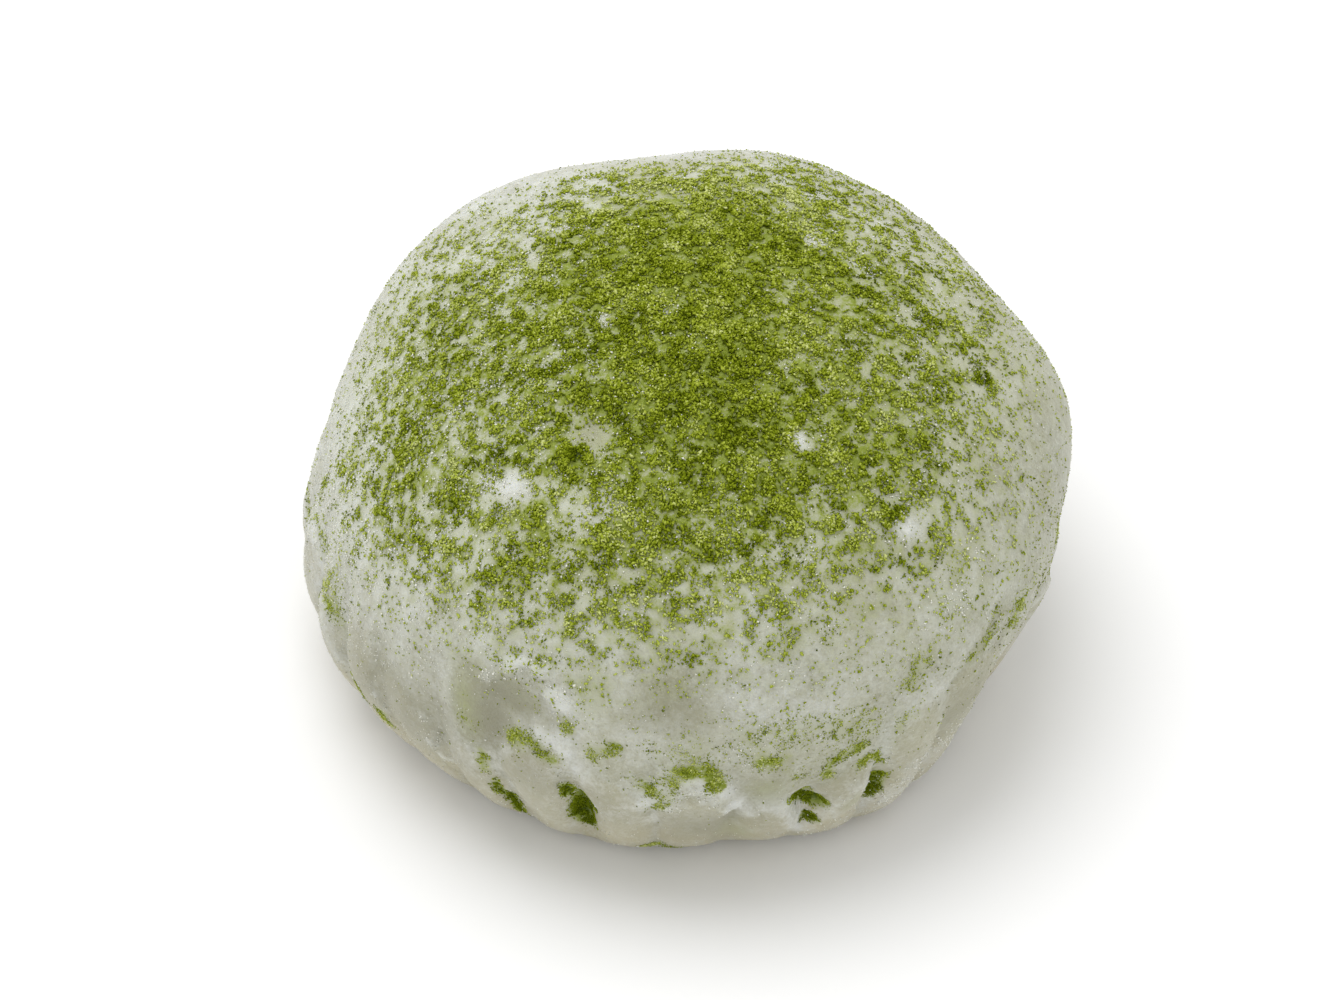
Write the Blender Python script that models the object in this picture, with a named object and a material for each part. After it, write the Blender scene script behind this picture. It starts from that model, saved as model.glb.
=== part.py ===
"""Mochi rice cake: one soft, lopsided dome of rice dough, uncut and solid.

It was set in a fluted paper cup, so its lower side tapers to a smaller flat base. Between the
cup's folds the dough bulged out into lobes with arched tops, parted by narrow valleys.

Metres, +Z up. The base lies at level 0, its middle at the origin, and the front faces -Y.
An azimuth is in degrees around the vertical axis, 0 at the front and growing towards +X.
"""

import math

import bmesh
import bpy
from mathutils import Vector

# Driving dimensions of the round, undented form
HEIGHT = 0.0313
BASE_RADIUS = 0.0200
WIDEST_RADIUS = 0.0246
WIDEST_LEVEL = 0.0140
BASE_EDGE_RADIUS = 0.0018
DOME_SQUARENESS = 2.1

# How the form leans out of round: (azimuth, half-width in degrees, share of the value)
BASE_SWELLS = (
    (-80.0, 24.0, 0.08),
    (33.0, 18.0, 0.015),
    (78.0, 26.0, -0.04),
)
WIDEST_LEVEL_SWELLS = (
    (-90.0, 50.0, -0.35),
    (90.0, 50.0, 0.15),
)

# Lobes between the cup's folds; lobe 0 is the one at the front
LOBES = 30
LOBE_PITCH = 360.0 / LOBES
VALLEY_DEPTH = 0.0008
VALLEY_ROUNDNESS = 0.7
VALLEY_TOP = 0.0190
VALLEY_FADE = 0.0090
LOBE_BULGE = 0.0004
LOBE_TOP = 0.0120
LOBE_TOP_SPREAD = 0.0020
LOBE_ARCH_DROP = 0.0025
LOBE_LEDGE = 0.0016
PLAIN_RIM = 0.0035
GOLDEN_SHARE = 0.618

# Tops of the lobes that stand out from the others: lobe number and level
ODD_LOBE_TOPS = {
    -2: 0.0128,
    -1: 0.0120,
    0: 0.0109,
    1: 0.0085,
    2: 0.0110,
    3: 0.0145,
    4: 0.0155,
}

# Broad swells and dents: (azimuth, stage of the form, reach, rise)
LUMPS = (
    (-172.0, 1.42, 0.0045, -0.0002),
    (-138.0, 1.40, 0.0085, 0.0014),
    (-118.0, 1.25, 0.0075, 0.0007),
    (-95.0, 0.95, 0.0060, 0.0008),
    (-76.0, 0.70, 0.0060, 0.0005),
    (8.0, 0.10, 0.0045, -0.0005),
    (60.0, 0.45, 0.0055, -0.0014),
    (80.0, 0.90, 0.0045, -0.0006),
    (95.0, 1.15, 0.0050, 0.0003),
    (119.0, 1.28, 0.0055, -0.0009),
    (164.0, 1.43, 0.0065, 0.0007),
)

# Small dents where the dough did not fill the cup: (azimuth, level, half-width, half-height, depth)
DENTS = (
    (-29.5, 0.0045, 0.0010, 0.0018, 0.0005),
    (-25.0, 0.0158, 0.0026, 0.0022, 0.0006),
    (-18.0, 0.0066, 0.0012, 0.0022, 0.0009),
    (18.5, 0.0080, 0.0011, 0.0015, 0.0008),
    (30.0, 0.0076, 0.0009, 0.0015, 0.0008),
)

# Mesh resolution
SEGMENTS_PER_LOBE = 6
EDGE_RINGS = 3
SIDE_RINGS = 10
DOME_RINGS = 13

SKIN_COLOR = (0.62, 0.62, 0.52, 1.0)
SKIN_ROUGHNESS = 0.55
SKIN_SUBSURFACE = 0.3
SKIN_SUBSURFACE_RADIUS = (0.0020, 0.0018, 0.0012)


def bell(distance):
    """Return 1 at no distance, falling smoothly towards 0."""
    return math.exp(-distance * distance)


def smooth_step(value):
    """Return 0 below 0, 1 above 1 and a smooth rise between them."""
    value = min(1.0, max(0.0, value))
    return value * value * (3.0 - 2.0 * value)


def turn_between(first, second):
    """Return the signed difference of two azimuths, from -180 to 180 degrees."""
    return (first - second + 180.0) % 360.0 - 180.0


def swollen(value, swells, azimuth):
    """Return the value as the swells near this azimuth change it."""
    share = 1.0
    for centre, half_width, change in swells:
        share += change * bell(turn_between(azimuth, centre) / half_width)
    return value * share


def form(azimuth, stage):
    """Return radius and level of the smooth form.

    Stage 0 is the base's edge, 1 the widest level and 2 the top.
    """
    base = swollen(BASE_RADIUS, BASE_SWELLS, azimuth)
    widest_level = swollen(WIDEST_LEVEL, WIDEST_LEVEL_SWELLS, azimuth)
    if stage > 1.0:
        climb = 0.5 * math.pi * (stage - 1.0)
        power = 2.0 / DOME_SQUARENESS
        radius = WIDEST_RADIUS * max(0.0, math.cos(climb)) ** power
        level = widest_level + (HEIGHT - widest_level) * math.sin(climb) ** power
        return radius, level
    level = widest_level * stage
    radius = base + (WIDEST_RADIUS - base) * math.sin(0.5 * math.pi * stage)
    under = max(0.0, 1.0 - level / BASE_EDGE_RADIUS)
    radius -= BASE_EDGE_RADIUS * (1.0 - math.sqrt(1.0 - under * under))
    return radius, level


def uneven(number):
    """Return a share from 0 to 1 that differs from each lobe or valley to the next."""
    return (number * GOLDEN_SHARE) % 1.0


def lobe_top(lobe):
    """Return the level of a lobe's arched top."""
    if lobe > LOBES // 2:
        lobe -= LOBES
    return ODD_LOBE_TOPS.get(lobe, LOBE_TOP + LOBE_TOP_SPREAD * (2.0 * uneven(lobe) - 1.0))


def fluting(azimuth, level):
    """Return how far the lobes and valleys move the skin outwards, negative in a valley."""
    turns = azimuth / LOBE_PITCH + 0.5
    lobe = math.floor(turns) % LOBES
    valley = round(turns) % LOBES
    crown = math.sin(math.pi * (turns % 1.0)) ** VALLEY_ROUNDNESS
    top = lobe_top(lobe) - LOBE_ARCH_DROP * (1.0 - crown)
    bulge = LOBE_BULGE * (0.6 + 0.4 * uneven(lobe)) * crown * smooth_step((top - level) / LOBE_LEDGE)
    hollow = VALLEY_DEPTH * (0.4 + 0.6 * uneven(valley)) * (1.0 - crown)
    hollow *= smooth_step((VALLEY_TOP - level) / VALLEY_FADE)
    return (bulge - hollow) * smooth_step(level / PLAIN_RIM)


def dent_depth(azimuth, radius, level):
    """Return how far the small dents press in here."""
    depth = 0.0
    for dent_azimuth, dent_level, half_width, half_height, deepest in DENTS:
        across = radius * math.radians(turn_between(azimuth, dent_azimuth)) / half_width
        along = (level - dent_level) / half_height
        depth += deepest * bell(math.hypot(across, along))
    return depth


def place(azimuth, radius, level):
    """Return the point at this azimuth, distance from the axis and level."""
    turn = math.radians(azimuth)
    return Vector((radius * math.sin(turn), -radius * math.cos(turn), level))


def skin_point(azimuth, stage):
    """Return a point of the skin with its lobes, dents and broad lumps."""
    radius, level = form(azimuth, stage)
    point = place(azimuth, radius + fluting(azimuth, level) - dent_depth(azimuth, radius, level), level)
    core = Vector((0.0, 0.0, WIDEST_LEVEL))
    rise = 0.0
    for lump_azimuth, lump_stage, reach, lump_rise in LUMPS:
        lump = place(lump_azimuth, *form(lump_azimuth, lump_stage))
        rise += lump_rise * bell((point - lump).length / reach)
    point += (point - core).normalized() * rise
    if stage == 0.0:
        point.z = 0.0
    return point


def ring_stages():
    """Return the stage of each ring of points, closer together round the base's edge."""
    edge = BASE_EDGE_RADIUS / WIDEST_LEVEL
    around_edge = [edge * (1.0 - math.cos(0.5 * math.pi * i / EDGE_RINGS)) for i in range(EDGE_RINGS)]
    up_side = [edge + (1.0 - edge) * i / SIDE_RINGS for i in range(SIDE_RINGS)]
    over_dome = [1.0 + i / DOME_RINGS for i in range(DOME_RINGS)]
    return around_edge + up_side + over_dome


def build_skin():
    """Return the closed mesh: rings of points joined by faces, with a fan at base and top."""
    bm = bmesh.new()
    count = LOBES * SEGMENTS_PER_LOBE
    azimuths = [LOBE_PITCH * (i / SEGMENTS_PER_LOBE - 0.5) for i in range(count)]
    rings = [[bm.verts.new(skin_point(azimuth, stage)) for azimuth in azimuths] for stage in ring_stages()]
    bottom = bm.verts.new((0.0, 0.0, 0.0))
    top = bm.verts.new(skin_point(0.0, 2.0))
    for i in range(count):
        for lower, upper in zip(rings, rings[1:]):
            bm.faces.new((lower[i - 1], lower[i], upper[i], upper[i - 1]))
        bm.faces.new((bottom, rings[0][i], rings[0][i - 1]))
        bm.faces.new((top, rings[-1][i - 1], rings[-1][i]))
    bmesh.ops.triangulate(bm, faces=bm.faces)
    bmesh.ops.recalc_face_normals(bm, faces=bm.faces)
    mesh = bpy.data.meshes.new("mochi")
    bm.to_mesh(mesh)
    bm.free()
    mesh.shade_smooth()
    return mesh


def centre_on_base(mesh):
    """Move the mesh so that the middle of its box is over the origin."""
    for axis in (0, 1):
        places = [vertex.co[axis] for vertex in mesh.vertices]
        middle = 0.5 * (min(places) + max(places))
        for vertex in mesh.vertices:
            vertex.co[axis] -= middle


def skin_material():
    """Return the pale, faintly green, translucent look of floured rice dough."""
    material = bpy.data.materials.new("mochi skin")
    material.use_nodes = True
    shader = material.node_tree.nodes["Principled BSDF"]
    shader.inputs["Base Color"].default_value = SKIN_COLOR
    shader.inputs["Roughness"].default_value = SKIN_ROUGHNESS
    shader.inputs["Metallic"].default_value = 0.0
    shader.inputs["Subsurface Weight"].default_value = SKIN_SUBSURFACE
    shader.inputs["Subsurface Radius"].default_value = SKIN_SUBSURFACE_RADIUS
    return material


def main():
    for old in list(bpy.data.objects):
        bpy.data.objects.remove(old)
    mesh = build_skin()
    centre_on_base(mesh)
    mesh.materials.append(skin_material())
    mochi = bpy.data.objects.new("mochi", mesh)
    bpy.context.scene.collection.objects.link(mochi)


main()
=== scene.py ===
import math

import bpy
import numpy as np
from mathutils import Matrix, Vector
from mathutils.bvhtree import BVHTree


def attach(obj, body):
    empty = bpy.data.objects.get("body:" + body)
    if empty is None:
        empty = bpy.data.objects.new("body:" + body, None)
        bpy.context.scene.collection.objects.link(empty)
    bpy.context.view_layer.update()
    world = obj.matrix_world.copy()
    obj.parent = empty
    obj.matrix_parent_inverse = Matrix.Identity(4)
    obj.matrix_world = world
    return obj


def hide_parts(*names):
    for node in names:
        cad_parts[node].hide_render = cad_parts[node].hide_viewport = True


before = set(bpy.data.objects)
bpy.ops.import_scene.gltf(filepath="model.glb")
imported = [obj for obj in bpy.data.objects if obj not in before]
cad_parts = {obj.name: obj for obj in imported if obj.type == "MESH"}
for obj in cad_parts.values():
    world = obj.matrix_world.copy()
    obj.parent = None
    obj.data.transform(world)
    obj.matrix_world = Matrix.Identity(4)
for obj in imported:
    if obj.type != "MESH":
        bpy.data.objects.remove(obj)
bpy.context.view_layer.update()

# The looks of a mochi rice cake: a skin of pale translucent dough with its starch, the flakes of
# green tea powder sifted over it, and the starch grains that glitter on it.
#
# Sizes are in millimetres and turn into metres where a mesh is made. A place on the skin is an
# azimuth and a latitude in degrees, seen from the core: azimuth 0 faces -Y and grows towards +X,
# latitude 90 is the top. A level is a height above the base.

MM = 0.001
NODE = "mochi"
CORE = np.array((0.0, 0.0, 14.0))

# Skin mesh
SKIN_DIVISIONS = 128
CAST_SMOOTHING = 2

# How far the skin's fine forms stand out or lie deep, in mm
FOLD_RISE = 0.36
CRUST_RISE = 0.20
PANEL_RISE = 0.06
PATCH_RISE = 0.03
POWDER_RISE = 0.16
PIT_DEPTH = 0.30
BARE_DEPTH = 0.28

# Fluted side: lobe 0 is at the front, and each lobe ends in an arched top
LOBES = 30
LOBE_PITCH = 360.0 / LOBES
LOBE_TOP = 12.0
LOBE_TOP_SPREAD = 2.0
LOBE_ARCH_DROP = 2.5
ODD_LOBE_TOPS = {-2: 12.8, -1: 12.0, 0: 10.9, 1: 8.5, 2: 11.0, 3: 14.5, 4: 15.5}
LOBE_ROUNDNESS = 0.7
GOLDEN_SHARE = 0.618

# How far the dough's folds wander from their even spacing, in degrees
FOLD_WANDER = 2.6

# The lobes up to this number, to both sides of lobe 0, have folds and powder lines of their own.
# On the others the rims and the powder that caught there differ by lobe number.
FRONT_LOBES = 5

# Where the sifted powder covers half of the skin: (azimuth, latitude, degrees over which it thins)
POWDER_EDGE = (
    (-180.0, 50.0, 5.0),
    (-140.0, 49.0, 7.0),
    (-120.0, 44.0, 13.0),
    (-100.0, 34.0, 11.0),
    (-80.0, 22.0, 9.0),
    (-60.0, 19.5, 8.0),
    (-40.0, 22.5, 8.0),
    (-20.0, 24.5, 7.5),
    (0.0, 26.0, 7.0),
    (20.0, 30.0, 9.0),
    (40.0, 34.0, 11.0),
    (60.0, 38.0, 13.0),
    (80.0, 43.0, 11.0),
    (100.0, 44.0, 13.0),
    (120.0, 44.0, 12.0),
    (140.0, 43.0, 11.0),
    (160.0, 47.0, 8.0),
)

# Islands and gaps in the powder: (size in mm, weight)
POWDER_ISLANDS = ((2.0, 0.06), (0.9, 0.28), (0.5, 1.0))

# Standard deviation of noise, and how steeply a share from 0 to 1 grows with each deviation
NOISE_DEVIATION = 0.37
SHARE_STEEPNESS = 1.7

# The next lists are spots on the skin: (azimuth, latitude, half-width and half-height in mm, tilt
# in degrees, strength)

# Where less powder lies than around, down to none at strength 1
THIN_POWDER = (
    (-8.0, 29.0, 10.0, 4.0, 0.0, 0.14),
    (-66.0, 44.0, 12.0, 8.5, 10.0, 0.37),
    (-50.0, 33.0, 7.0, 3.0, 20.0, 0.15),
    (78.0, 66.0, 4.0, 3.0, 0.0, 0.20),
    (-128.0, 48.0, 6.0, 4.0, 20.0, 0.35),
    (-98.0, 50.0, 6.0, 5.0, 0.0, 0.35),
    (-62.0, 56.0, 5.0, 4.0, 0.0, 0.25),
    (-60.0, 38.0, 4.5, 3.0, 0.0, 0.25),
    (-42.0, 56.0, 2.5, 3.0, 0.0, 0.25),
    (58.0, 62.0, 4.0, 3.0, 0.0, 0.20),
    (115.0, 42.0, 6.0, 3.0, 0.0, 0.25),
    (-30.0, 51.5, 1.7, 1.5, 0.0, 0.90),
    (-41.0, 37.0, 3.0, 1.5, 24.0, 0.92),
    (-24.0, 38.5, 2.8, 1.5, 10.0, 0.75),
    (-68.0, 72.0, 0.7, 0.6, 0.0, 0.80),
    (-36.0, 83.0, 0.6, 0.6, 0.0, 0.70),
    (107.0, 52.0, 1.0, 0.8, 0.0, 0.60),
    (125.0, 57.0, 1.0, 0.8, 0.0, 0.60),
    (33.0, 49.0, 0.6, 0.7, 0.0, 0.90),
    (43.5, 28.5, 0.9, 1.0, 0.0, 0.90),
)

# Small heaps of powder
POWDER_CLUMPS = (
    (-30.0, 46.5, 0.8, 0.6, 0.0, 1.20),
    (42.0, 32.0, 1.0, 0.7, 20.0, 0.80),
    (82.0, 33.0, 0.8, 0.6, 0.0, 0.80),
    (-81.0, 12.0, 1.0, 0.8, 0.0, 0.40),
    (-62.0, 16.0, 1.1, 0.8, 0.0, 0.40),
)

# Where starch lies thick
WHITE_PATCHES = (
    (-42.0, 37.0, 1.9, 0.8, 24.0, 0.60),
    (-24.0, 39.5, 1.6, 0.8, 10.0, 0.30),
    (-68.0, 72.0, 0.6, 0.5, 0.0, 0.70),
    (-36.0, 83.0, 0.5, 0.5, 0.0, 0.60),
    (107.0, 52.0, 0.8, 0.7, 0.0, 0.60),
    (125.0, 57.0, 0.8, 0.7, 0.0, 0.60),
    (33.0, 49.0, 0.5, 0.6, 0.0, 0.80),
    (43.5, 28.5, 0.8, 0.9, 0.0, 0.60),
    (-128.0, 46.0, 5.0, 4.0, 20.0, 0.30),
    (-19.5, 7.5, 1.0, 1.3, 0.0, 0.50),
    (-92.0, 18.0, 3.0, 5.0, 0.0, 0.35),
    (-56.0, 45.0, 9.0, 7.0, 0.0, 0.16),
    (38.0, -22.0, 5.0, 3.5, 0.0, 0.45),
    (-64.0, 8.0, 8.0, 5.0, 0.0, 0.28),
    (10.0, 8.0, 2.0, 4.0, 0.0, 0.30),
    (46.0, 16.0, 3.0, 1.6, 20.0, 0.30),
)

# Shallow hollows where the dough shows bare, painted darker: partly the bare dough's own grey,
# partly painted shade in the hollows and below folds
BARE_AND_SHADED_PATCHES = (
    (-30.0, 51.5, 1.5, 1.3, 0.0, 0.70),
    (-28.2, 5.5, 3.0, 1.7, -5.0, 1.00),
    (-31.0, 0.5, 2.2, 2.6, 0.0, 1.00),
    (-2.0, 10.0, 3.4, 2.4, 0.0, 0.45),
    (46.0, -6.0, 1.6, 4.0, -15.0, 0.50),
    (2.0, -18.0, 2.4, 2.4, 0.0, 0.55),
    (-24.0, -8.0, 2.0, 2.4, 0.0, 0.45),
    (12.0, -7.0, 1.8, 2.6, 0.0, 0.45),
    (-64.0, -14.0, 1.2, 2.6, 0.0, 0.45),
    # Painted shade in part: this broad patch darkens the lower left, which faces down and away from the
    # lamp.
    (-52.0, -10.0, 7.0, 5.0, 0.0, 0.52),
)

# Where most of the glittering starch grains lie
GLITTERING_PATCHES = (
    (-76.0, 6.0, 10.0, 9.0, 0.0, 1.3),
    (-100.0, 25.0, 8.0, 8.0, 0.0, 1.0),
    (-45.0, 24.0, 9.0, 6.0, 0.0, 0.6),
    (-58.0, 45.0, 10.0, 8.0, 0.0, 1.4),
    (-28.0, 38.0, 6.0, 3.0, 0.0, 0.6),
    (-30.0, 12.0, 3.0, 2.0, 0.0, 0.4),
)

# Where green dust too fine to see as grains tints the skin
GREEN_STAINS = (
    (-35.5, 1.0, 0.9, 2.6, 10.0, 0.24),
    (8.5, -24.0, 1.2, 2.0, 0.0, 0.18),
    (12.5, -7.5, 1.6, 1.4, 0.0, 0.16),
    (29.0, -16.0, 2.0, 1.4, 0.0, 0.14),
    (-14.0, 11.0, 1.2, 2.0, 0.0, 0.16),
    (0.0, -1.0, 7.0, 4.0, 0.0, 0.06),
    (24.0, -2.0, 7.0, 4.0, 0.0, 0.08),
    (-96.0, 26.0, 6.0, 7.0, 0.0, 0.10),
    (-30.0, 51.5, 1.5, 1.3, 0.0, 0.16),
    (-30.0, 37.0, 2.0, 1.5, 20.0, 0.10),
    (58.0, 8.0, 12.0, 8.0, 0.0, 0.05),
    (92.0, 18.0, 10.0, 9.0, 0.0, 0.06),
)

# Where more single grains of powder lie below its edge
LOOSE_POWDER = (
    (66.0, 16.0, 13.0, 9.0, 0.0, 1.50),
    (110.0, 20.0, 12.0, 8.0, 0.0, 0.60),
    (22.0, 2.0, 8.0, 4.0, 0.0, 0.50),
    (-10.0, 6.0, 6.0, 5.0, 0.0, 0.30),
)

# Where the powder is paler and its film thinner
PALE_POWDER = (
    (180.0, 56.0, 11.0, 5.0, 0.0, 1.00),
    (-148.0, 52.0, 9.0, 5.0, 0.0, 0.80),
    (-8.0, 27.0, 12.0, 5.0, 0.0, 0.35),
)

# Pits where the dough did not fill the cup's folds; powder lies in them and grew damp
PITS = (
    (-18.6, -12.8, 0.50, 1.2, 0.0, 1.0),
    (-16.2, -16.5, 0.90, 1.5, 0.0, 1.0),
    (-17.4, -21.0, 0.75, 2.6, 5.0, 1.0),
    (-31.2, -18.5, 0.32, 2.0, 0.0, 0.8),
    (-30.6, -25.5, 0.42, 2.4, 0.0, 0.8),
    (18.0, -12.6, 0.85, 0.55, -35.0, 1.0),
    (20.6, -15.8, 0.95, 0.75, -15.0, 1.0),
    (20.4, -21.0, 0.60, 0.65, 0.0, 1.0),
    (32.2, -19.0, 0.42, 2.1, -5.0, 1.0),
    (114.0, -14.0, 0.55, 1.1, 12.0, 0.9),
    (114.8, -18.0, 0.35, 1.2, 0.0, 0.8),
    (150.0, -19.0, 0.45, 1.3, -12.0, 0.8),
    (-102.0, -15.0, 0.60, 1.0, 10.0, 0.9),
    (-102.6, -19.5, 0.40, 1.3, 0.0, 0.8),
    (-150.0, -14.0, 0.50, 1.2, 15.0, 0.8),
)

# Small heaps of powder that grew damp
DAMP_CLUMPS = (
    (-30.5, 47.0, 0.7, 0.6, 0.0, 1.00),
)

# The next three lists are lines on the skin: (half-width in mm, strength, (azimuth, latitude) of
# each point)

# Raised rims and folds of the dough
SOFT_FOLDS = (
    (1.00, 1.0, ((-6.5, -10), (-4.5, -8.5), (-2.5, -4.5), (-0.5, -2.5),
                 (1.5, -2), (3.5, -4), (5, -8), (6, -12))),
    (0.56, 0.6, ((-5, -16), (-3, -12), (-0.5, -9), (3, -10), (5.5, -14))),
    (0.94, 1.0, ((10.5, -13.5), (12, -11.5), (13.5, -12.5), (16, -18),
                 (20, -26), (22.5, -24), (24, -18), (27, -13))),
    (1.00, 0.9, ((-22, 1.5), (-20, 0.5), (-18.5, -1.5), (-17, -5), (-15.5, -7))),
    (0.69, 0.6, ((-28, -5), (-28.5, -11))),
    (0.69, 0.8, ((-71, -9.5), (-69, -12.5), (-68, -15.5))),
    (1.10, 0.5, ((53, 12), (49, 9), (45, 6.5), (41, 3.5), (38, 2), (34, -1.5), (32.5, -6), (32.5, -13))),
    (1.10, 0.4, ((53, 6), (49.5, 3.5), (45, 1.5), (43.5, -1.5), (41.5, -5.5), (39.5, -9.5))),
)

# Ragged crusts of starch
CRUSTS = (
    (0.55, 1.3, ((-32, 8), (-30.5, 9.5), (-29.5, 11), (-27.5, 13), (-24.5, 13.5), (-22, 13))),
    (0.45, 0.7, ((-21, 8), (-19.5, 8.5), (-18, 7))),
    (0.65, 1.0, ((-3, -9), (-1, -6.5), (1, -5), (3, -5.5), (5, -8.5), (6.5, -12))),
    (0.25, 0.6, ((-55, -7), (-55, -11), (-55.5, -17))),
    (0.40, 1.0, ((-43.5, -12.5), (-42.5, -16), (-41.5, -19.5))),
    (0.25, 0.5, ((-47, -2), (-45, -6), (-44, -9))),
)

# Powder caught along folds
POWDER_LINES = (
    (0.55, 1.5, ((-5, -6.5), (-3, -5.5), (-2, -3.5), (-1, -1.5),
                 (0.5, -0.5), (2.5, -0.5), (4, -2.5), (4.5, -5))),
    (0.35, 0.9, ((-6.5, -10), (-5, -10.5), (-3, -8))),
    (1.60, 0.25, ((-1, 2), (2.5, 3))),
    (0.80, 0.35, ((-6, -5.5), (-3.5, -4))),
    (0.55, 1.0, ((11.5, 0), (12.5, -1), (14.5, -0.5))),
    (1.70, 0.25, ((10, 4), (17, 4))),
    (0.45, 0.6, ((15, -3), (17, -5.5))),
    (0.45, 1.0, ((21.5, -7), (21.5, -4), (23, -2.5), (24.5, -2), (26, -2))),
    (1.40, 0.30, ((23, 3), (26, 2))),
    (0.40, 0.8, ((27, -7), (27.5, -5.5), (29.5, -6.5), (31.5, -10.5))),
    (0.55, 1.0, ((-26.5, -2.5), (-25, -1), (-23.5, -1), (-22, -2), (-20.5, -3))),
    (0.35, 0.8, ((-17, 12), (-16.5, 11), (-16, 10))),
    (0.35, 0.8, ((-18, 4.5), (-17.5, 3))),
    (0.45, 0.8, ((-13, -0.5), (-11.5, 1.5), (-10.5, 2))),
    (0.35, 0.9, ((-9.8, 3), (-9.2, 3))),
    (0.35, 0.5, ((-36, -2), (-34.5, -3.5))),
    (0.30, 0.7, ((-32.5, -7.5), (-32, -10), (-31.5, -12.5))),
    (0.70, 0.45, ((38, 9.5), (36.5, 8), (35, 6.5))),
    (0.25, 0.6, ((36, 0.5), (34, 0), (33, -2.5))),
    (0.80, 0.30, ((50.5, 6.5), (49, 5.5), (47, 4.5))),
    (0.60, 0.60, ((59, 5.5), (58, 4), (56.5, 3.5))),
    (0.35, 1.0, ((-57, -18.5), (-57, -21.5))),
    (0.45, 1.0, ((-63, -16), (-61, -18))),
    (0.40, 0.9, ((-86, 5), (-86, 1))),
    (0.45, 1.0, ((-6.5, -30), (-3, -30.5))),
)

# Grains of each kind: how many, the shortest and the longest in mm, and how far they may lean
FLAKE_COUNT = 33000
FLAKE_LENGTHS = (0.26, 0.52)
CRUMB_COUNT = 33000
CRUMB_LENGTHS = (0.15, 0.30)
DUST_COUNT = 45000
DUST_LENGTHS = (0.10, 0.20)
STARCH_GRAIN_COUNT = 10000
STARCH_GRAIN_LENGTHS = (0.08, 0.16)
STARCH_CRUMB_COUNT = 4000
STARCH_CRUMB_LENGTHS = (0.10, 0.28)
POWDER_TILT = 40.0
DUST_TILT = 60.0
STARCH_TILT = 80.0

# No grain starts lower on the skin than this level
LOWEST_GRAIN = 0.3

# Share of spare places drawn for the powder, so that its grains crowd together
CROWDING = 0.9

# Camera, in degrees and mm: it aims at a point on the axis, moved aside and down in the view
CAMERA_ELEVATION = 46.0
CAMERA_DISTANCE = 400.0
CAMERA_AIM = np.array((0.0, 0.0, 15.0))
CAMERA_SHIFT = np.array((-0.93, 0.0, 0.0))
CAMERA_DROP = 1.82
CAMERA_SENSOR = 36.0
CAMERA_LENS = 165.5

# Light and floor, in metres and watts
ROOM_BRIGHTNESS = 0.82
KEY_PLACE = Vector((-0.12, 0.10, 0.70))
KEY_WIDTH = 0.5
KEY_POWER = 2.4
FLOOR_HALF_WIDTH = 3.0


# ---------------------------------------------------------------- numbers and noise

def bell(distance):
    """Return 1 at no distance, falling smoothly towards 0."""
    return np.exp(-distance * distance)


def smooth_step(low, high, value):
    """Return 0 up to low, 1 from high on, and a smooth rise between them."""
    share = np.clip((value - low) / (high - low), 0.0, 1.0)
    return share * share * (3.0 - 2.0 * share)


def unit(vectors):
    """Return the vectors at length 1."""
    return vectors / np.linalg.norm(vectors, axis=-1, keepdims=True)


def hashed(cells, seed):
    """Return a repeatable share from 0 to 1 for each whole-number cell."""
    mixed = cells[..., 0] * 73856093 ^ cells[..., 1] * 19349663 ^ cells[..., 2] * 83492791
    mixed = (mixed ^ (seed * 2654435761)) & 0xFFFFFFFF
    mixed = ((mixed ^ (mixed >> 15)) * 2246822519) & 0xFFFFFFFF
    mixed = ((mixed ^ (mixed >> 13)) * 3266489917) & 0xFFFFFFFF
    return ((mixed ^ (mixed >> 16)) & 0xFFFFFF) / 0xFFFFFF


def turned_axes(seed):
    """Return three square axes that point a different way for each seed."""
    rng = np.random.default_rng(seed)
    axes, _ = np.linalg.qr(rng.normal(size=(3, 3)))
    return axes


def noise(points, size, seed):
    """Return smooth noise from about -1 to 1, whose bumps are this size across."""
    places = points @ turned_axes(seed) / size + 1000.0
    cells = np.floor(places).astype(np.int64)
    inside = places - cells
    ease = inside * inside * (3.0 - 2.0 * inside)
    total = np.zeros(len(points))
    for corner in range(8):
        step = np.array((corner & 1, corner >> 1 & 1, corner >> 2 & 1))
        share = np.prod(np.where(step, ease, 1.0 - ease), axis=1)
        total += share * hashed(cells + step, seed)
    return 2.0 * total - 1.0


def rough_noise(points, size, seed, octaves=3, keep=0.55):
    """Return noise with finer and finer bumps added, from about -1 to 1."""
    total = np.zeros(len(points))
    weight = 1.0
    whole = 0.0
    for octave in range(octaves):
        total += weight * noise(points, size / 2.0 ** octave, seed + octave)
        whole += weight
        weight *= keep
    return total / whole


# ---------------------------------------------------------------- the solid's surface

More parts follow.
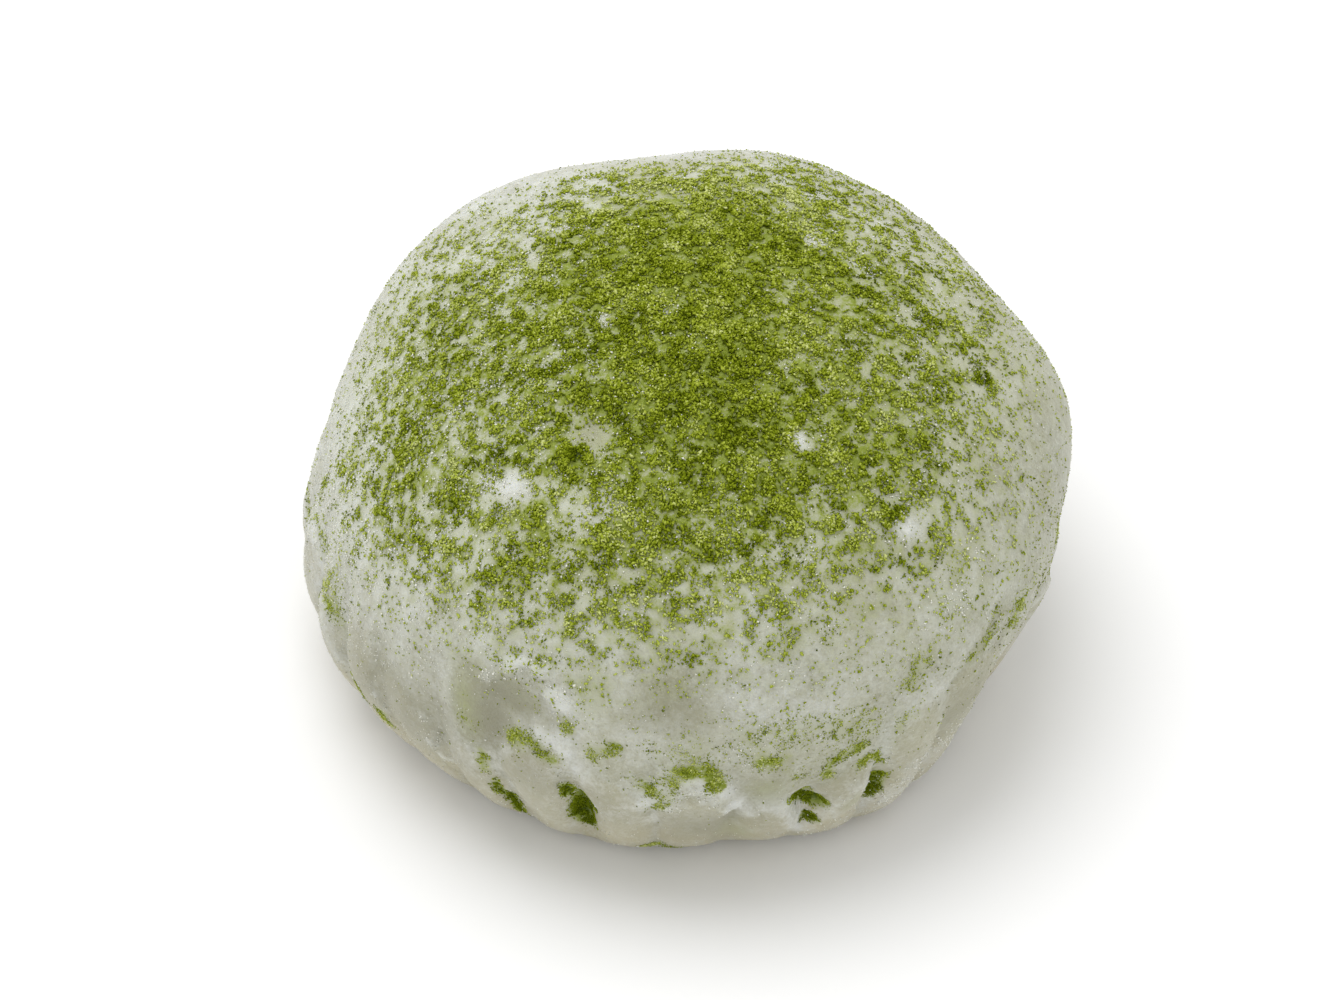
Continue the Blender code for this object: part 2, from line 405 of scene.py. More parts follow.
def cube_sphere(divisions):
    """Return directions spread evenly over a sphere, quads between them and each quad's chart.

    Each side of a cube is one square grid, bent so that its quads are nearly equal in size.
    """
    steps = np.tan(np.linspace(-0.25 * np.pi, 0.25 * np.pi, divisions + 1))
    across, along = np.meshgrid(steps, steps, indexing="ij")
    count = divisions + 1
    corner = (np.arange(divisions)[:, None] * count + np.arange(divisions)[None, :]).ravel()
    square = np.stack((corner, corner + count, corner + count + 1, corner + 1), axis=1)
    share = np.stack(np.meshgrid(*[np.linspace(0.0, 1.0, count)] * 2, indexing="ij"), axis=2)
    points, quads, charts = [], [], []
    for side in range(6):
        axis, sign = side // 2, 1.0 - 2.0 * (side % 2)
        parts = [None, None, None]
        parts[axis] = np.full_like(across, sign)
        parts[(axis + 1) % 3] = across
        parts[(axis + 2) % 3] = along * sign
        points.append(np.stack(parts, axis=2).reshape(-1, 3))
        quads.append(square + side * count * count)
        column_and_row = np.array((side % 3, side // 3))
        inside = 0.02 + 0.96 * share.reshape(-1, 2)[square]
        charts.append((column_and_row + inside) / np.array((3.0, 2.0)))
    points = unit(np.concatenate(points))
    keys = np.round(points * 1e6).astype(np.int64)
    _, first, same = np.unique(keys, axis=0, return_index=True, return_inverse=True)
    return points[first], same.reshape(-1)[np.concatenate(quads)], np.concatenate(charts)


def solid_surface():
    """Return a search tree of the CAD solid, smoothed so that its facets don't show."""
    rounded = bpy.data.objects.new("rounded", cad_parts[NODE].data.copy())
    bpy.context.scene.collection.objects.link(rounded)
    weld = rounded.modifiers.new("weld", "WELD")
    weld.merge_threshold = 0.001 * MM
    smooth = rounded.modifiers.new("smooth", "SUBSURF")
    smooth.levels = CAST_SMOOTHING
    tree = BVHTree.FromObject(rounded, bpy.context.evaluated_depsgraph_get())
    bpy.data.objects.remove(rounded)
    return tree


def cast(directions):
    """Return where rays from the core in these directions leave the solid."""
    core = Vector(CORE * MM)
    places = [surface.ray_cast(core, Vector(direction))[0] for direction in directions]
    return np.array(places) / MM


def direction(azimuth, latitude):
    """Return the direction of a place on the skin, seen from the core."""
    turn, rise = math.radians(azimuth), math.radians(latitude)
    return np.array((math.sin(turn) * math.cos(rise), -math.cos(turn) * math.cos(rise), math.sin(rise)))


def azimuth_and_latitude(points):
    """Return where points on the skin lie, seen from the core."""
    away = points - CORE
    azimuth = np.degrees(np.arctan2(away[:, 0], -away[:, 1]))
    latitude = np.degrees(np.arctan2(away[:, 2], np.hypot(away[:, 0], away[:, 1])))
    return azimuth, latitude


def quad_normals(points, quads):
    """Return each point's outward normal on a mesh of quads."""
    corners = points[quads]
    facing = np.cross(corners[:, 2] - corners[:, 0], corners[:, 3] - corners[:, 1])
    normals = np.zeros_like(points)
    for corner in range(4):
        np.add.at(normals, quads[:, corner], facing)
    return unit(normals)


# The surface on which every place of the skin is found
surface = solid_surface()


def spot_reach(points, azimuth, latitude, half_width, half_height, tilt):
    """Return how far the points are from a spot's middle, where 1 is the spot's own reach.

    Tilt turns the spot's width from level towards rising on the right.
    """
    out = direction(azimuth, latitude)
    centre = cast([out])[0]
    east = direction(azimuth + 90.0, 0.0)
    north = np.cross(out, east)
    turn = math.radians(tilt)
    width_axis = east * math.cos(turn) + north * math.sin(turn)
    height_axis = north * math.cos(turn) - east * math.sin(turn)
    away = points - centre
    across = away @ width_axis / half_width
    along = away @ height_axis / half_height
    depth = away @ out / (2.0 * max(half_width, half_height))
    return np.sqrt(across ** 2 + along ** 2 + depth ** 2)


def line_reach(points, half_width, path):
    """Return how far the points are from a line on the skin, where 1 is the line's half-width."""
    corners = cast([direction(azimuth, latitude) for azimuth, latitude in path])
    nearest = np.full(len(points), np.inf)
    for start, end in zip(corners, corners[1:]):
        along = end - start
        share = np.clip((points - start) @ along / (along @ along), 0.0, 1.0)
        nearest = np.minimum(nearest, np.linalg.norm(points - start - share[:, None] * along, axis=1))
    return nearest / half_width


def lines(points, places, ragged=0.35):
    """Return the strength at each point of soft lines with uneven edges. The strongest counts."""
    total = np.zeros(len(points))
    shift = [
        ragged * noise(points, 1.6, seed) + 0.5 * ragged * noise(points, 0.7, seed)
        for seed in (72, 73, 74)
    ]
    shifted = points + np.stack(shift, axis=1)
    for half_width, strength, path in places:
        total = np.maximum(total, strength * bell(line_reach(shifted, half_width, path)))
    return total


def spots(points, places, ragged=0.25):
    """Return the strength at each point of soft spots with uneven edges. The strongest counts."""
    total = np.zeros(len(points))
    uneven_edge = 1.0 + ragged * rough_noise(points, 1.4, 71)
    for azimuth, latitude, half_width, half_height, tilt, strength in places:
        reach = spot_reach(points, azimuth, latitude, half_width, half_height, tilt)
        total = np.maximum(total, strength * bell(reach * uneven_edge))
    return total


# ---------------------------------------------------------------- fluted side

def uneven(number):
    """Return a share from 0 to 1 that differs from each lobe to the next."""
    return (number * GOLDEN_SHARE) % 1.0


def lobe_numbers(azimuth):
    """Return the number of the lobe at each azimuth, from -15 to 15."""
    return np.round(azimuth / LOBE_PITCH).astype(int)


def lobe_tops():
    """Return the level of each lobe's arched top, by number from -15 to 15."""
    tops = {}
    for lobe in range(-LOBES // 2, LOBES // 2 + 1):
        spread = LOBE_TOP_SPREAD * (2.0 * uneven(lobe) - 1.0)
        tops[lobe] = ODD_LOBE_TOPS.get(lobe, LOBE_TOP + spread)
    return tops


def crown(azimuth):
    """Return 1 at the middle of a lobe and 0 in the valleys beside it."""
    return np.abs(np.cos(np.pi * azimuth / LOBE_PITCH)) ** LOBE_ROUNDNESS


def arch_distance(points, azimuth):
    """Return how far above the arched top of its lobe each point is, in mm."""
    tops = lobe_tops()
    level = np.array([tops[lobe] for lobe in lobe_numbers(azimuth)])
    return points[:, 2] - (level - LOBE_ARCH_DROP * (1.0 - crown(azimuth)))


def side_share(points):
    """Return 1 on the fluted side, fading to 0 above it."""
    return smooth_step(20.0, 15.0, points[:, 2])


def wandering_azimuth(points):
    """Return each point's azimuth, shifted so that the folds don't run quite straight."""
    azimuth, _ = azimuth_and_latitude(points)
    return azimuth + FOLD_WANDER * (noise(points, 5.0, 25) + 0.5 * noise(points, 2.0, 26))


def panel_share(points):
    """Return 1 on the smooth panel under each lobe's arched top and 0 above it."""
    azimuth = wandering_azimuth(points)
    return smooth_step(0.3, -0.5, arch_distance(points, azimuth)) * smooth_step(0.15, 0.5, crown(azimuth))


def front_share(points):
    """Return 1 on the lobes at the front, which have lines of their own, and 0 on the others."""
    azimuth, _ = azimuth_and_latitude(points)
    reach = (FRONT_LOBES + 0.5) * LOBE_PITCH
    return smooth_step(reach + 3.0, reach - 3.0, np.abs(azimuth))


def fold_edge(points):
    """Return 1 on the raised rim of each panel and on the folds' lines, fading to 0 beside them."""
    azimuth = wandering_azimuth(points)
    above = arch_distance(points, azimuth)
    crest = crown(azimuth)
    arch = bell((above + 0.35) / 0.65) * smooth_step(0.1, 0.4, crest)
    upright = bell((crest - 0.35) / 0.22) * smooth_step(0.5, -1.0, above)
    rims = np.maximum(0.8 * arch, 0.4 * upright) * side_share(points)
    rims *= smooth_step(1.0, 4.0, points[:, 2])
    rims *= 0.2 + 0.6 * uneven(5 * lobe_numbers(azimuth)) + 0.3 * noise(points, 2.5, 27)
    rims = np.maximum(rims, 0.0)
    return np.maximum(rims * (1.0 - 0.8 * front_share(points)), lines(points, SOFT_FOLDS, 0.3))


def pit_share(points):
    """Return 1 in the pits and 0 outside them, with a torn edge."""
    return smooth_step(0.28, 0.50, spots(points, PITS, 0.5))


def bare_and_shaded_share(points):
    """Return 1 where the dough shows bare, painted darker in part as shade, fading to 0 beside it."""
    return spots(points, BARE_AND_SHADED_PATCHES, 0.45)


def crust_share(points):
    """Return the strength at each point of the ragged crusts of starch."""
    return lines(points, CRUSTS, 0.5)


# ---------------------------------------------------------------- what covers the skin

def sifted(points):
    """Return how much powder was sifted over each point, from 0 to 1."""
    azimuth, latitude = azimuth_and_latitude(points)
    edge_azimuth, edge_latitude, edge_fade = np.array(POWDER_EDGE).T
    edge = np.interp(azimuth, edge_azimuth, edge_latitude, period=360.0)
    fade = np.interp(azimuth, edge_azimuth, edge_fade, period=360.0)
    above = latitude - edge + 1.5 * noise(points, 6.0, 11) + 0.3 * noise(points, 2.6, 12)
    return 1.0 / (1.0 + np.exp(-above / fade))


def thinned(points):
    """Return how much of the sifted powder stayed at each point, from 0 to 1."""
    return sifted(points) * (1.0 - spots(points, THIN_POWDER, 0.4))


def powder_cover(points):
    """Return the share of the skin that powder covers around each point."""
    return np.clip(thinned(points) + spots(points, POWDER_CLUMPS, 0.4), 0.0, 1.2)


def ledge_powder(points):
    """Return how much powder caught above the lobes' arched tops, along folds and in the pits."""
    azimuth = wandering_azimuth(points)
    lobes = lobe_numbers(azimuth)
    amount = (0.2 + 0.7 * uneven(3 * lobes)) * (1.0 - front_share(points))
    above = arch_distance(points, azimuth) + 0.5 * noise(points, 1.8, 21)
    line = smooth_step(-0.2, 0.4, above) * bell(np.maximum(above - 0.4, 0.0) / 0.7)
    spray = smooth_step(-0.2, 0.6, above) * bell(np.maximum(above, 0.0) / 2.4)
    caught = (0.8 * line + 0.3 * spray) * amount
    caught = caught * smooth_step(0.1, 0.6, crown(azimuth)) * side_share(points)
    torn = noise(points * np.array((1.0, 1.0, 1.8)), 1.1, 23) + 0.8 * noise(points, 0.6, 24)
    torn = smooth_step(-0.5, 0.3, torn)
    caught = np.maximum(caught * (0.2 + 1.0 * torn), lines(points, POWDER_LINES) * (0.6 + 0.6 * torn))
    return np.clip(caught + pit_share(points), 0.0, 1.2)


def powder_share(points):
    """Return whether powder lies here, from 0 to 1, how deep it lies and the cover around."""
    cover = powder_cover(points)
    height = sum(weight * noise(points, size, 51 + i) for i, (size, weight) in enumerate(POWDER_ISLANDS))
    height /= NOISE_DEVIATION * math.sqrt(sum(weight * weight for _, weight in POWDER_ISLANDS))
    depth = cover - 1.0 / (1.0 + np.exp(-SHARE_STEEPNESS * height))
    softness = 0.75 + 0.35 * (1.0 - np.clip(cover, 0.0, 1.0))
    share = smooth_step(-softness, softness, depth) * smooth_step(0.0, 0.3, cover)
    return share, np.clip(depth, -0.1, 1.0), cover


def starch_and_painted_light(points):
    """Return how floury the skin is, 0 for bare dough and 1 for white.

    It holds painted light too: whiter on the lit left and on the folds' crests, darker low on the
    left and in a band below each fold.
    """
    azimuth, latitude = azimuth_and_latitude(points)
    share, _, cover = powder_share(points)
    side = side_share(points)
    left = 0.5 - 0.5 * np.sin(np.radians(azimuth + 20.0)) * np.cos(np.radians(latitude))
    streaks = rough_noise(points * np.array((1.0, 1.0, 0.4)), 1.6, 31)
    # Partly starch and partly painted light: whiter towards the lamp-lit left, and the rise stops low
    # down, leaving the lower left, which faces away from the lamp, darker.
    white = 0.28 + 0.36 * left * smooth_step(-20.0, 12.0, latitude)
    white += 0.42 * rough_noise(points, 3.6, 34, 4, 0.5)
    white += 0.25 * streaks * side
    white += (0.45 + 0.5 * left) * smooth_step(0.2, 0.5, cover) * (0.55 - share)
    panel = panel_share(points) * (0.35 + 0.65 * front_share(points))
    white -= (0.28 * panel + 0.10) * side * (1.0 - 0.9 * left * left)
    # Fold crests whiter, partly starch and partly painted highlight; a band 1.3 mm below each fold is
    # darker: painted shade under the fold.
    white += 0.80 * fold_edge(points) - 0.50 * fold_edge(points + np.array((0.0, 0.0, 1.3)))
    white += 1.30 * crust_share(points) * (0.8 + 0.8 * noise(points, 0.8, 39))
    white += spots(points, WHITE_PATCHES) - 0.8 * bare_and_shaded_share(points)
    return np.clip(white, 0.0, 1.2)


# ---------------------------------------------------------------- skin

def skin_relief(points):
    """Return how far the skin's fine form stands out from the solid, in mm."""
    side = side_share(points)
    relief = 0.10 * noise(points, 7.0, 1) + 0.06 * noise(points, 3.5, 2)
    relief += 0.035 * noise(points, 1.6, 3) + 0.018 * noise(points, 0.8, 4)
    upright = points * np.array((1.0, 1.0, 0.25))
    relief += side * (0.08 * noise(upright, 2.2, 5) + 0.04 * noise(upright, 1.0, 6))
    relief += FOLD_RISE * fold_edge(points)
    relief += CRUST_RISE * crust_share(points) * (1.0 + noise(points, 0.8, 39))
    relief += PANEL_RISE * side * panel_share(points)
    relief -= PIT_DEPTH * spots(points, PITS)
    relief -= BARE_DEPTH * bare_and_shaded_share(points)
    relief += PATCH_RISE * spots(points, WHITE_PATCHES) * (1.0 + noise(points, 0.8, 8))
    _, depth, cover = powder_share(points)
    return relief + POWDER_RISE * depth * smooth_step(0.05, 0.4, cover)


def skin_form():
    """Return the skin's points, quads and charts."""
    directions, quads, charts = cube_sphere(SKIN_DIVISIONS)
    points = cast(directions)
    normals = quad_normals(points, quads)
    points = points + normals * skin_relief(points)[:, None]
    points[:, 2] = np.maximum(points[:, 2], 0.0)
    return points, quads, charts


def set_values(mesh, values):
    """Give a mesh its named values, one for each point, which its material reads."""
    for name, value in values.items():
        attribute = mesh.attributes.new(name, "FLOAT", "POINT")
        attribute.data.foreach_set("value", value.astype(np.float32))


def make_piece(name, points, faces, chart, values, material, slot):
    """Make a mesh piece from points in mm, and fix it to the mochi."""
    mesh = bpy.data.meshes.new(name)
    corners = faces.shape[1]
    mesh.vertices.add(len(points))
    mesh.vertices.foreach_set("co", (points * MM).astype(np.float32).ravel())
    mesh.loops.add(faces.size)
    mesh.loops.foreach_set("vertex_index", faces.astype(np.int32).ravel())
    mesh.polygons.add(len(faces))
    mesh.polygons.foreach_set("loop_start", np.arange(0, faces.size, corners, dtype=np.int32))
    mesh.polygons.foreach_set("loop_total", np.full(len(faces), corners, dtype=np.int32))
    mesh.update(calc_edges=True)
    mesh.uv_layers.new(name="OFBake").data.foreach_set("uv", chart.astype(np.float32).ravel())
    set_values(mesh, values)
    mesh.materials.append(material)
    piece = bpy.data.objects.new(name, mesh)
    bpy.context.scene.collection.objects.link(piece)
    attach(piece, "root")
    return piece


# ---------------------------------------------------------------- materials

def linear(red, green, blue):
    """Return a colour given as 0 to 255 on a display as the shader wants it."""
    colour = []
    for value in (red, green, blue):
        share = value / 255.0
        if share <= 0.04045:
            colour.append(share / 12.92)
        else:
            colour.append(((share + 0.055) / 1.055) ** 2.4)
    return colour + [1.0]


DOUGH = linear(172, 171, 150)
BARE_DOUGH = linear(138, 136, 114)
STARCH_WHITE = linear(213, 215, 210)
WARM_DOUGH = linear(184, 177, 148)
THIN_DUST = linear(164, 169, 118)
THICK_DUST = linear(138, 150, 66)
DEEP_DUST = linear(108, 122, 30)
DAMP_POWDER = linear(66, 82, 18)


class Nodes:
    """A material's node tree, with short ways to add nodes."""

    def __init__(self, name):
        self.material = bpy.data.materials.new(name)
        self.material.use_nodes = True
        self.tree = self.material.node_tree
        self.shader = self.tree.nodes["Principled BSDF"]

    def new(self, kind, inputs=(), **settings):
        """Add a node, set it up, and link or set its inputs by number or name."""
        node = self.tree.nodes.new(kind)
        for name, value in settings.items():
            setattr(node, name, value)
        for key, value in dict(inputs).items():
            if isinstance(value, bpy.types.NodeSocket):
                self.tree.links.new(value, node.inputs[key])
            else:
                node.inputs[key].default_value = value
        return node

    def value(self, name):
        """Return a named value of the mesh."""
        return self.new("ShaderNodeAttribute", attribute_name=name).outputs["Fac"]

    def noise(self, size, detail=2.0, roughness=0.5):
        """Return noise whose bumps are about this many mm across, from 0 to 1."""
        place = self.new("ShaderNodeTexCoord").outputs["Object"]
        inputs = {"Vector": place, "Scale": 1.0 / (size * MM), "Detail": detail, "Roughness": roughness}
        return self.new("ShaderNodeTexNoise", inputs).outputs["Fac"]

    def math(self, operation, *values):
        """Return the result of a calculation."""
        return self.new("ShaderNodeMath", dict(enumerate(values)), operation=operation).outputs[0]

    def ranged(self, value, low, high, to_low=0.0, to_high=1.0):
        """Return a value moved from one range to another, and kept inside it."""
        inputs = {"Value": value, "From Min": low, "From Max": high, "To Min": to_low, "To Max": to_high}
        return self.new("ShaderNodeMapRange", inputs).outputs["Result"]

    def mix(self, share, first, second):
        """Return a colour between two others."""
        return self.new("ShaderNodeMix", {0: share, 6: first, 7: second}, data_type="RGBA").outputs[2]

    def ramp(self, value, stops):
        """Return a colour that runs through these (place, colour) stops."""
        node = self.new("ShaderNodeValToRGB", {0: value})
        elements = node.color_ramp.elements
        for place, colour in stops[1:-1]:
            elements.new(place).color = colour
        for element, (place, colour) in zip((elements[0], elements[-1]), (stops[0], stops[-1])):
            element.position = place
            element.color = colour
        return node.outputs["Color"]

    def set(self, **inputs):
        """Link or set the shader's inputs; a name's underscores stand for spaces."""
        for name, value in inputs.items():
            socket = self.shader.inputs[name.replace("_", " ")]
            if isinstance(value, bpy.types.NodeSocket):
                self.tree.links.new(value, socket)
            else:
                socket.default_value = value

    def bump(self, height, depth):
        """Shade the surface as if it rose by up to this many mm."""
        inputs = {"Height": height, "Distance": depth * MM, "Strength": 1.0}
        self.set(Normal=self.new("ShaderNodeBump", inputs).outputs["Normal"])


def skin_material():
    """Return dough that is translucent where bare, white where floury, green where dusted.

    Its values also bring painted light: whiter fold crests and left side, darker bands below the
    folds, darker hollows and a darker lower left.
    """
    nodes = Nodes("mochi_skin")
    finest = nodes.noise(0.18, 2.0, 0.6)
    fine = nodes.noise(0.45, 3.0, 0.65)
    middle = nodes.noise(1.8, 4.0, 0.65)
    broad = nodes.noise(6.0, 2.0)
    colour = nodes.mix(nodes.ranged(broad, 0.3, 0.7, 0.0, 0.7), DOUGH, BARE_DOUGH)
    colour = nodes.mix(nodes.value("warm"), colour, WARM_DOUGH)
    grainy = nodes.math("MULTIPLY_ADD", nodes.math("ADD", fine, finest), 1.0, -1.0)
    grainy = nodes.math("ADD", grainy, nodes.math("MULTIPLY_ADD", middle, 1.0, -0.5))
    # The starch value carries painted light too: lighter fold crests and left side, darker bands below
    # the folds.
    white = nodes.ranged(nodes.math("ADD", nodes.value("starch_and_light"), grainy), -0.1, 1.1)
    colour = nodes.mix(white, colour, STARCH_WHITE)
    # The bare mix is partly the bare dough's grey and partly painted shade: in hollows, below folds and
    # on the lower left.
    colour = nodes.mix(nodes.math("MULTIPLY", nodes.value("bare_and_shaded"), 0.85), colour, BARE_DOUGH)
    speckle = nodes.math("MULTIPLY_ADD", nodes.math("ADD", fine, finest), 1.6, -0.6)
    dust = nodes.math("MULTIPLY", nodes.value("dust"), speckle)
    green = nodes.ramp(dust, ((0.25, THIN_DUST), (0.6, THICK_DUST), (1.0, DEEP_DUST)))
    colour = nodes.mix(nodes.ranged(dust, 0.0, 0.5), colour, green)
    colour = nodes.mix(nodes.value("damp"), colour, DAMP_POWDER)
    nodes.set(Base_Color=colour, Roughness=nodes.ranged(white, 0.0, 1.0, 0.45, 0.75))
    nodes.set(Specular_IOR_Level=nodes.ranged(dust, 0.1, 0.6, 0.5, 0.05))
    nodes.set(Subsurface_Weight=0.4, Subsurface_Scale=0.0012, Subsurface_Radius=(1.0, 0.9, 0.6))
    nodes.bump(nodes.math("ADD", fine, finest), 0.05)
    return nodes.material


def powder_material():
    """Return ground tea leaf: each flake has its own green, from dark to bright.

    Painted light lifts the green on each grain's peak and on grains high in the pile.
    """
    nodes = Nodes("matcha_powder")
    fine = nodes.noise(0.12, 2.0, 0.6)
    shade = nodes.math("ADD", nodes.value("shade"), nodes.ranged(fine, 0.3, 0.7, -0.1, 0.1))
    stops = (
        (0.0, linear(60, 72, 6)),
        (0.25, linear(100, 114, 16)),
        (0.5, linear(138, 152, 34)),
        (0.75, linear(170, 182, 70)),
        (1.0, linear(204, 210, 140)),
    )
    nodes.set(Base_Color=nodes.ramp(shade, stops), Roughness=0.9, Specular_IOR_Level=0.0)
    return nodes.material


def starch_material():
    """Return white starch that glitters."""
    nodes = Nodes("rice_starch")
    fine = nodes.noise(0.2, 2.0)
    colour = nodes.mix(nodes.ranged(fine, 0.3, 0.7), linear(220, 220, 206), linear(246, 246, 238))
    roughness = nodes.ranged(fine, 0.3, 0.7, 0.3, 0.55)
    nodes.set(Base_Color=colour, Roughness=roughness, Specular_IOR_Level=0.45)
    return nodes.material


# ---------------------------------------------------------------- scattered grains

def scatter(rng, likely, count, spare=0.0):
    """Choose this many places on the skin, most where likely is high.

    Spare places, as a share of the count, are drawn too, and those that crowd least are dropped.
    Return a function that blends values known at the skin's points into one at each place.
    """
    drawn = int(count * (1.0 + spare))
    corners = skin_points[skin_quads]
    size = np.linalg.norm(np.cross(corners[:, 2] - corners[:, 0], corners[:, 3] - corners[:, 1]), axis=1)
    above_floor = skin_points[:, 2] > LOWEST_GRAIN
    total = np.cumsum(size * (likely * above_floor)[skin_quads].mean(axis=1))
    chosen = skin_quads[np.searchsorted(total / total[-1], rng.random(drawn))]
    across, along = rng.random((2, drawn))
    shares = ((1 - across) * (1 - along), across * (1 - along), across * along, (1 - across) * along)
    shares = np.stack(shares, axis=1)
    places = np.einsum("gc,gcd->gd", shares, skin_points[chosen])
    crowding = noise(places, 0.55, 69) + 0.7 * noise(places, 0.3, 70) + 0.3 * rng.normal(size=drawn)
    kept = np.sort(np.argsort(-crowding)[:count])
    shares, chosen = shares[kept], chosen[kept]
    return lambda values: np.einsum("gc,gc...->g...", shares, values[chosen])


# Forms of grains, whose length is about 1. Flakes and crumbs have an end at each side along x and
# a peak in the middle, and chips have four corners.
FLAKE = np.array((
    (0.5, 0.0, -0.08),
    (-0.5, 0.0, -0.06),
    (0.10, 0.27, -0.06),
    (-0.08, -0.26, -0.06),
    (0.0, 0.0, 0.2),
))
CRUMB = np.array((
    (0.5, 0.0, 0.0),
    (-0.5, 0.08, 0.0),
    (0.0, 0.38, -0.15),
    (0.05, -0.36, -0.12),
    (-0.02, 0.0, 0.36),
))
CHIP = np.array((
    (0.0, 0.0, 0.5),
    (0.5, 0.0, -0.17),
    (-0.25, 0.43, -0.17),
    (-0.25, -0.43, -0.17),
))
PEAKED_FACES = np.array(((0, 2, 4), (0, 4, 3), (0, 3, 2), (1, 4, 2), (1, 3, 4), (1, 2, 3)))
CHIP_FACES = np.array(((0, 1, 2), (0, 2, 3), (0, 3, 1), (1, 3, 2)))


def grains(rng, centres, normals, lengths, form, faces, tilt, shade):
    """Return the joined mesh of one uneven grain at each centre, leaning by up to tilt degrees.

    Its chart gives each grain a small patch of its own, placed by the grain's shade.
    Each point's shade rises with its height in the grain: a painted highlight on the grain's peak.
    """
    count = len(centres)
    spin = rng.normal(size=(count, 3))
    up = unit(normals + math.tan(math.radians(tilt)) * rng.uniform(-1.0, 1.0, (count, 3)))
    along = unit(np.cross(up, spin))
    across = np.cross(up, along)
    local = form[None] * rng.uniform(0.7, 1.3, (count, len(form), 3)) * lengths[:, None, None]
    points = centres[:, None] + local[..., :1] * along[:, None] + local[..., 1:2] * across[:, None]
    points = points + local[..., 2:] * up[:, None]
    points[..., 2] = np.maximum(points[..., 2], 0.0)
    joined = (np.arange(count)[:, None, None] * len(form) + faces[None]).reshape(-1, 3)
    # Painted highlight: points higher in the grain get a lighter shade, so each peak is lighter.
    point_shade = (shade[:, None] + 0.5 * form[None, :, 2]).ravel()
    middle = np.stack((0.03 + 0.94 * np.clip(shade, 0.0, 1.0), rng.uniform(0.03, 0.97, count)), axis=1)
    chart = middle[:, None] + 0.012 * form[None, :, :2]
    return points.reshape(-1, 3), joined, chart.reshape(-1, 2)[joined.ravel()], {"shade": point_shade}


# ---------------------------------------------------------------- build

skin_points, skin_quads, skin_charts = skin_form()
skin_normals = quad_normals(skin_points, skin_quads)
skin_share, skin_depth, skin_cover = powder_share(skin_points)
skin_ledges = ledge_powder(skin_points)
skin_bare_and_shaded = bare_and_shaded_share(skin_points)
skin_film = thinned(skin_points)
skin_film *= (0.6 + 0.4 * skin_film) * (1.0 - 0.3 * spots(skin_points, PALE_POWDER))
skin_damp = np.maximum(pit_share(skin_points), spots(skin_points, DAMP_CLUMPS))
skin_white = spots(skin_points, WHITE_PATCHES) + crust_share(skin_points)
skin_stains = np.maximum(0.65 * skin_ledges, spots(skin_points, GREEN_STAINS))
low_band = smooth_step(9.0, 2.0, skin_points[:, 2]) * (0.7 + 0.6 * noise(skin_points, 5.0, 41))
side_panels = panel_share(skin_points) * side_share(skin_points)
skin_values = {
    "dust": np.clip(0.45 * skin_film + 0.30 * skin_share + 0.1 * skin_depth + skin_stains, 0.0, 1.0),
    "starch_and_light": starch_and_painted_light(skin_points),
    "bare_and_shaded": skin_bare_and_shaded,
    "warm": np.clip(0.8 * low_band + 0.2 * side_panels, 0.0, 1.0),
    "damp": smooth_step(0.60, 1.0, spots(skin_points, PITS + DAMP_CLUMPS, 0.5)),
}
skin_look = skin_material()
skin = make_piece("skin", skin_points, skin_quads, skin_charts, skin_values, skin_look, "mochi_skin")
skin.data.shade_smooth()
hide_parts(NODE)

# How many layers of grains lie at each point, part in islands and part evenly
thickness = np.clip(skin_cover, 0.0, 1.0)
layers = -0.65 * np.log(1.0 - 0.97 * skin_share)
layers -= 0.35 * np.log(1.0 - 0.95 * thickness) * smooth_step(0.0, 0.35, thickness)

# Single grains, everywhere but on the lowest part of the side
loose = smooth_step(-25.0, 5.0, azimuth_and_latitude(skin_points)[1])
loose *= 0.35 + spots(skin_points, LOOSE_POWDER)


def powder_piece(name, seed, count, lengths, form, faces, tilt, likely):
    """Scatter one kind of powder grain over the skin and join it into a piece."""
    rng = np.random.default_rng(seed)
    at = scatter(rng, likely, count, CROWDING)
    places = at(skin_points)
    normals = unit(at(skin_normals))
    share = at(skin_share)
    alone = smooth_step(0.12, 0.0, at(thickness)) * (1.0 - smooth_step(0.1, 0.5, at(skin_ledges)))
    length = rng.uniform(*lengths, count) * (0.7 + 0.3 * share) * (1.0 - 0.25 * alone)
    lift = rng.random(count) ** 1.5
    centres = places + normals * (0.02 + 0.16 * lift * share)[:, None]
    # Painted light: grains lifted high in the pile are lighter and low ones darker, on top of each
    # grain's own green.
    shade = rng.normal(0.375, 0.155, count) + 0.25 * (lift - 0.4) * share
    shade += 0.30 * (1.0 - at(thickness)) * (1.0 - 0.4 * alone) + 0.25 * spots(places, PALE_POWDER)
    shade += 0.18 * noise(places, 1.6, 67) + 0.24 * noise(places, 0.7, 68)
    shade = np.clip(shade * (1.0 - 0.7 * at(skin_damp)), 0.05, 1.0)
    parts = grains(rng, centres, normals, length, form, faces, tilt, shade)
    return make_piece(name, *parts, powder_look, "matcha_powder")


